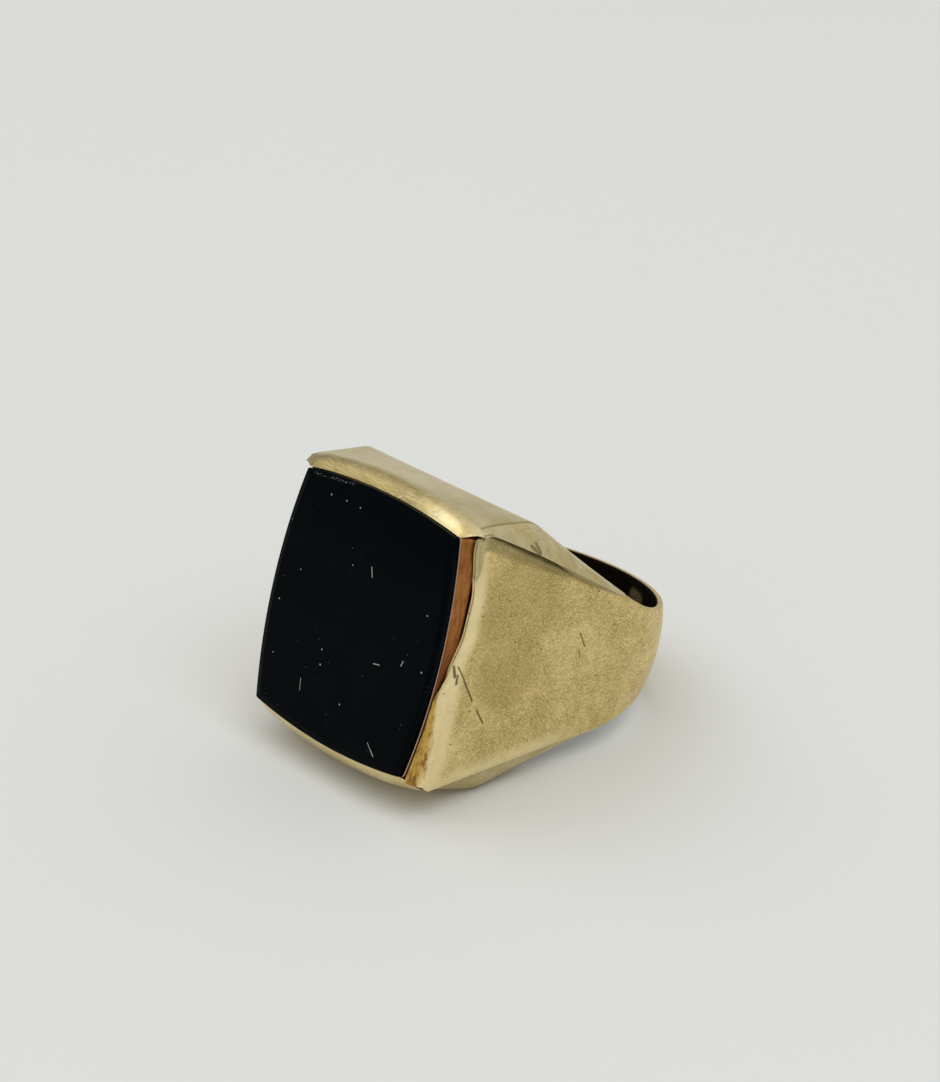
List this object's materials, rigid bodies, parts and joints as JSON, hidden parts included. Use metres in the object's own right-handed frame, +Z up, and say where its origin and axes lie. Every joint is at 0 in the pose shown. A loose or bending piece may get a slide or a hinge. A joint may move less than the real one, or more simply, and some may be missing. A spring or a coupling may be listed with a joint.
{
  "type": "signet ring",
  "caption": "Hollow-built gold signet ring with a flat, bow-sided black onyx tablet, flat shoulders with leaf-shaped bevels and a tapering D-section shank.",
  "frame": {"origin": "centre of the footprint on the ground, with the ring lying on its side as it rests: on the fold of its lower end wall and the lower edge of its shank", "axes": "+Z up; -Y is the side that the stone faces, leaning up by 18.3 degrees; +X is across the finger, to the right when looking at the stone. +Y is the longest extent, from stone to shank"},
  "size_m": [0.0198, 0.0278, 0.0198],
  "materials": {
    "onyx": "polished",
    "cement": "matt jeweller's cement",
    "gold_satin": "worn satin yellow gold",
    "gold_brushed": "brushed and worn yellow gold",
    "gold_polished": "polished yellow gold, slightly tarnished",
    "gold_collar": "polished gold that mirrors its neighbour and looks copper-red",
    "gold_inside": "unpolished gold, out of sight"
  },
  "bodies": {
    "root": {"onyx_tablet": "onyx", "stone_cement": "cement", "backing_plate": "gold_inside", "bezel_collar": "gold_collar", "finger_liner": "gold_polished", "shank": "gold_satin", "upper_end_wall": "gold_brushed", "lower_end_wall": "gold_brushed", "right_shoulder_panel": "gold_satin", "left_shoulder_panel": "gold_satin", "right_upper_leaf": "gold_polished", "right_lower_leaf": "gold_polished", "left_upper_leaf": "gold_polished", "left_lower_leaf": "gold_polished"}
  },
  "joints": []
}
